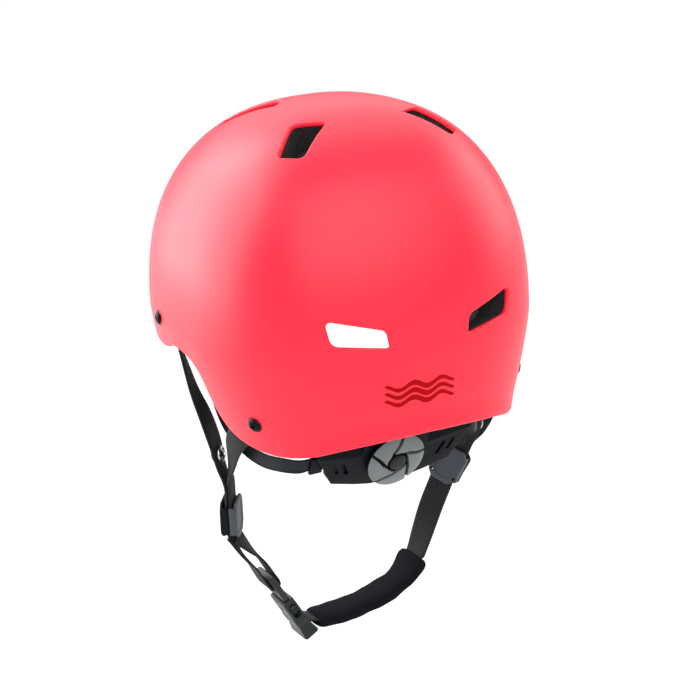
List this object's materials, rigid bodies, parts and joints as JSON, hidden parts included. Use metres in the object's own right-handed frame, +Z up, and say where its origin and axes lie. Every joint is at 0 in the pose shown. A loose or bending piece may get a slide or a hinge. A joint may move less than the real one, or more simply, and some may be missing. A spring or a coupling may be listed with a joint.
{
  "type": "water sports helmet",
  "caption": "Water sports helmet: hard outer shell with vents over a foam liner, a rear dial that tightens the head band, and a webbing chin strap with side-release buckle.",
  "frame": {"origin": "centre of the crown pad's flat underside, where the helmet sits on the wearer's head", "axes": "+Z up to the crown, -Y to the wearer's front, +Y to the back with the fit dial, +X to the wearer's left, where the buckle is"},
  "size_m": [0.2177, 0.2515, 0.3458],
  "materials": {
    "shell": "satin",
    "foam": "matte",
    "pad": "matte",
    "webbing": "matte",
    "black_plastic": "satin",
    "slate_plastic": "satin",
    "dial_grey": "satin",
    "gloss_black": "gloss",
    "band": "satin",
    "steel": "brushed",
    "black_steel": "satin"
  },
  "bodies": {
    "root": {"outer_shell": "shell", "foam_liner": "foam", "crown_pad": "pad", "front_pad": "pad", "rear_pad": "pad", "left_pad": "pad", "right_pad": "pad", "screw_left_front": "black_steel", "screw_left_rear": "black_steel", "screw_right_front": "black_steel", "screw_right_rear": "black_steel", "t_nut_left_front": "steel", "t_nut_left_rear": "steel", "t_nut_right_front": "steel", "t_nut_right_rear": "steel", "left_front_strap": "webbing", "left_rear_strap": "webbing", "right_front_strap": "webbing", "right_rear_strap": "webbing", "left_snap_cap": "black_plastic", "left_snap_socket": "steel", "left_band": "band", "left_band_plug": "black_plastic", "right_snap_cap": "black_plastic", "right_snap_socket": "steel", "right_band": "band", "right_band_plug": "black_plastic"},
    "cradle": {"cradle_housing": "black_plastic", "cradle_back": "black_plastic", "cradle_pad": "pad", "ratchet_ring": "slate_plastic"},
    "dial": {"dial_core": "black_plastic", "dial_blade_1": "dial_grey", "dial_blade_2": "dial_grey", "dial_blade_3": "dial_grey", "dial_blade_4": "dial_grey", "dial_blade_5": "dial_grey", "dial_cap": "gloss_black", "dial_pinion": "slate_plastic", "axle_clip": "steel"},
    "left_rack": {"left_rack": "black_plastic"},
    "right_rack": {"right_rack": "black_plastic"},
    "left_divider": {"left_divider_base": "slate_plastic", "left_divider_cover": "slate_plastic"},
    "right_divider": {"right_divider_base": "slate_plastic", "right_divider_cover": "slate_plastic"},
    "chin_strap": {"left_lower_strap": "webbing", "right_lower_strap": "webbing", "chin_pad": "pad", "buckle_female": "black_plastic"},
    "buckle_male": {"buckle_male": "black_plastic"},
    "prong_rear": {"buckle_prong_rear": "black_plastic"},
    "prong_front": {"buckle_prong_front": "black_plastic"}
  },
  "joints": [
    {"name": "cradle_slide", "type": "slide", "parent": "root", "child": "cradle", "axis": [0, -1, 0], "range_m": [0, 0.00628]},
    {"name": "dial_spin", "type": "hinge", "parent": "cradle", "child": "dial", "pos_m": [0, 0.0535, -0.1839], "axis": [0, -0.9272, 0.3746], "range_deg": [0, 150]},
    {"name": "left_rack_slide", "type": "slide", "parent": "cradle", "child": "left_rack", "axis": [-1, 0, 0], "range_m": [0, 0.0106]},
    {"name": "right_rack_slide", "type": "slide", "parent": "cradle", "child": "right_rack", "axis": [1, 0, 0], "range_m": [0, 0.0106]},
    {"name": "left_divider_slide", "type": "slide", "parent": "root", "child": "left_divider", "axis": [0.0411, 0.0548, 0.9977], "range_m": [0, 0.008]},
    {"name": "right_divider_slide", "type": "slide", "parent": "root", "child": "right_divider", "axis": [-0.4093, 0.2088, 0.8882], "range_m": [0, 0.008]},
    {"name": "chin_strap_swing", "type": "hinge", "parent": "root", "child": "chin_strap", "pos_m": [0, -0.016, -0.2418], "axis": [1, 0, 0], "range_deg": [-20, 35], "deforming": ["left_lower_strap", "right_lower_strap"]},
    {"name": "buckle_release", "type": "slide", "parent": "chin_strap", "child": "buckle_male", "axis": [0.5062, 0, 0.8624], "range_m": [0, 0.018], "deforming": ["left_lower_strap", "buckle_prong_rear", "buckle_prong_front"]},
    {"name": "prong_rear_squeeze", "type": "hinge", "parent": "buckle_male", "child": "prong_rear", "pos_m": [0.04933, -0.009, -0.28747], "axis": [0.8624, 0, -0.5062], "range_deg": [-8, 0], "stiffness_Nm_per_rad": 0.2},
    {"name": "prong_front_squeeze", "type": "hinge", "parent": "buckle_male", "child": "prong_front", "pos_m": [0.04933, -0.021, -0.28747], "axis": [0.8624, 0, -0.5062], "range_deg": [0, 8], "stiffness_Nm_per_rad": 0.2}
  ],
  "couplings": [
    {"joint": "dial_spin", "follows": "cradle_slide", "rad_per_m": 416.67},
    {"joint": "left_rack_slide", "follows": "cradle_slide", "ratio": 1.6667},
    {"joint": "right_rack_slide", "follows": "cradle_slide", "ratio": 1.6667},
    {"joint": "prong_front_squeeze", "follows": "prong_rear_squeeze", "ratio": -1}
  ]
}
